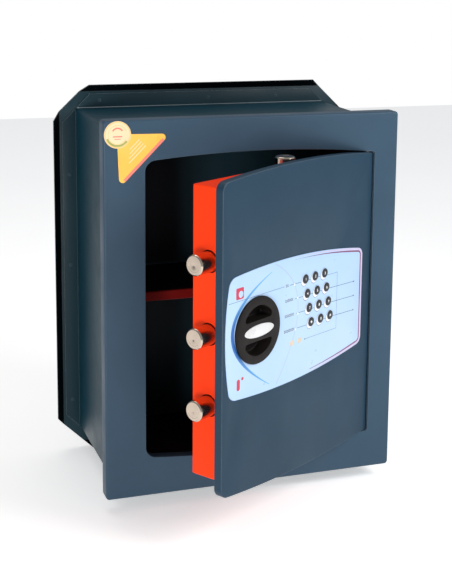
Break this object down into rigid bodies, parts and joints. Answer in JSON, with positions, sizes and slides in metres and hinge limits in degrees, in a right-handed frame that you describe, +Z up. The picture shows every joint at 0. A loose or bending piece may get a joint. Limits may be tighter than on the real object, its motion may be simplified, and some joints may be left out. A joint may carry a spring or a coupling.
{
  "type": "wall safe",
  "caption": "Wall safe with an ajar arched steel door, recessed turning knob, digital keypad, sliding round bolts, inner shelf and a flanged wall-anchoring back.",
  "frame": {"origin": "centre of the back panel's rear face", "axes": "+Z up, +Y into the wall (the door faces -Y), +X to the right as seen from the front"},
  "size_m": [0.37, 0.3402, 0.452],
  "materials": {
    "grey_paint": "satin powder coat with fine orange peel",
    "dark_paint": "satin powder coat",
    "orange_paint": "satin powder coat",
    "turned_steel": "turned and zinc-plated",
    "black_plastic": "fine moulded texture",
    "pale_plastic": "moulded",
    "white_plastic": "smooth",
    "label_film": "printed polyester film",
    "circuit_board": "solder mask",
    "led_lens": "diffusing lens",
    "battery_sleeve": "shrink sleeve",
    "sticker_film": "printed vinyl"
  },
  "bodies": {
    "body": {"front_frame": "grey_paint", "opening_collar": "grey_paint", "body_shell": "grey_paint", "back_panel": "grey_paint", "shelf": "dark_paint", "shelf_bracket_left": "grey_paint", "shelf_bracket_right": "grey_paint", "hinge_block_upper": "grey_paint", "hinge_block_lower": "grey_paint", "hinge_pin_upper": "turned_steel", "hinge_pin_lower": "turned_steel", "sticker_triangle": "sticker_film", "sticker_round": "sticker_film"},
    "door": {"door_plate": "grey_paint", "anti_pry_rail": "grey_paint", "bolt_cover": "orange_paint", "cover_posts": "turned_steel", "cover_screws": "turned_steel", "side_bolt_guide": "turned_steel", "top_bolt_guide": "turned_steel", "bottom_bolt_guide": "turned_steel", "knob_bushing": "pale_plastic", "keypad_label": "label_film", "keypad_housing": "black_plastic", "keypad_board": "circuit_board", "led_windows": "led_lens", "control_board": "circuit_board", "ribbon_cable": "pale_plastic", "solenoid_body": "turned_steel", "battery_holder": "black_plastic", "batteries": "battery_sleeve"},
    "knob": {"knob": "black_plastic", "knob_badge": "white_plastic", "spindle": "turned_steel", "drive_cam": "turned_steel", "spindle_clip": "turned_steel"},
    "side_bolts": {"bolt_carriage": "turned_steel", "drive_pin": "turned_steel", "carriage_screws": "turned_steel", "side_bolt_upper": "turned_steel", "side_bolt_middle": "turned_steel", "side_bolt_lower": "turned_steel"},
    "top_bolt": {"top_bolt": "turned_steel", "top_link": "turned_steel"},
    "bottom_bolt": {"bottom_bolt": "turned_steel", "bottom_link": "turned_steel"},
    "solenoid_plunger": {"solenoid_plunger": "turned_steel"},
    "key_1": {"key_1": "black_plastic"},
    "key_2": {"key_2": "black_plastic"},
    "key_3": {"key_3": "black_plastic"},
    "key_4": {"key_4": "black_plastic"},
    "key_5": {"key_5": "black_plastic"},
    "key_6": {"key_6": "black_plastic"},
    "key_7": {"key_7": "black_plastic"},
    "key_8": {"key_8": "black_plastic"},
    "key_9": {"key_9": "black_plastic"},
    "key_star": {"key_star": "black_plastic"},
    "key_0": {"key_0": "black_plastic"},
    "key_hash": {"key_hash": "black_plastic"}
  },
  "joints": [
    {"name": "door_swing", "type": "hinge", "parent": "body", "child": "door", "pos_m": [0.1336, -0.1993, 0], "axis": [0, 0, 1], "range_deg": [-32, 58]},
    {"name": "knob_turn", "type": "hinge", "parent": "door", "child": "knob", "pos_m": [-0.03467, -0.31176, 0.004], "axis": [-0.5299, 0.848, 0], "range_deg": [0, 90]},
    {"name": "side_bolts_slide", "type": "slide", "parent": "door", "child": "side_bolts", "axis": [0.848, 0.5299, 0], "range_m": [0, 0.021]},
    {"name": "top_bolt_slide", "type": "slide", "parent": "door", "child": "top_bolt", "axis": [0, 0, -1], "range_m": [0, 0.014]},
    {"name": "bottom_bolt_slide", "type": "slide", "parent": "door", "child": "bottom_bolt", "axis": [0, 0, 1], "range_m": [0, 0.014]},
    {"name": "plunger_slide", "type": "slide", "parent": "door", "child": "solenoid_plunger", "axis": [0, 0, -1], "range_m": [0, 0.006]},
    {"name": "key_1_press", "type": "slide", "parent": "door", "child": "key_1", "axis": [-0.5299, 0.848, 0], "range_m": [0, 0.0008], "stiffness_N_per_m": 300},
    {"name": "key_2_press", "type": "slide", "parent": "door", "child": "key_2", "axis": [-0.5299, 0.848, 0], "range_m": [0, 0.0008], "stiffness_N_per_m": 300},
    {"name": "key_3_press", "type": "slide", "parent": "door", "child": "key_3", "axis": [-0.5299, 0.848, 0], "range_m": [0, 0.0008], "stiffness_N_per_m": 300},
    {"name": "key_4_press", "type": "slide", "parent": "door", "child": "key_4", "axis": [-0.5299, 0.848, 0], "range_m": [0, 0.0008], "stiffness_N_per_m": 300},
    {"name": "key_5_press", "type": "slide", "parent": "door", "child": "key_5", "axis": [-0.5299, 0.848, 0], "range_m": [0, 0.0008], "stiffness_N_per_m": 300},
    {"name": "key_6_press", "type": "slide", "parent": "door", "child": "key_6", "axis": [-0.5299, 0.848, 0], "range_m": [0, 0.0008], "stiffness_N_per_m": 300},
    {"name": "key_7_press", "type": "slide", "parent": "door", "child": "key_7", "axis": [-0.5299, 0.848, 0], "range_m": [0, 0.0008], "stiffness_N_per_m": 300},
    {"name": "key_8_press", "type": "slide", "parent": "door", "child": "key_8", "axis": [-0.5299, 0.848, 0], "range_m": [0, 0.0008], "stiffness_N_per_m": 300},
    {"name": "key_9_press", "type": "slide", "parent": "door", "child": "key_9", "axis": [-0.5299, 0.848, 0], "range_m": [0, 0.0008], "stiffness_N_per_m": 300},
    {"name": "key_star_press", "type": "slide", "parent": "door", "child": "key_star", "axis": [-0.5299, 0.848, 0], "range_m": [0, 0.0008], "stiffness_N_per_m": 300},
    {"name": "key_0_press", "type": "slide", "parent": "door", "child": "key_0", "axis": [-0.5299, 0.848, 0], "range_m": [0, 0.0008], "stiffness_N_per_m": 300},
    {"name": "key_hash_press", "type": "slide", "parent": "door", "child": "key_hash", "axis": [-0.5299, 0.848, 0], "range_m": [0, 0.0008], "stiffness_N_per_m": 300}
  ],
  "couplings": [
    {"joint": "knob_turn", "follows": "side_bolts_slide", "rad_per_m": 74.799},
    {"joint": "top_bolt_slide", "follows": "side_bolts_slide", "ratio": 0.66666},
    {"joint": "bottom_bolt_slide", "follows": "side_bolts_slide", "ratio": 0.66666}
  ]
}
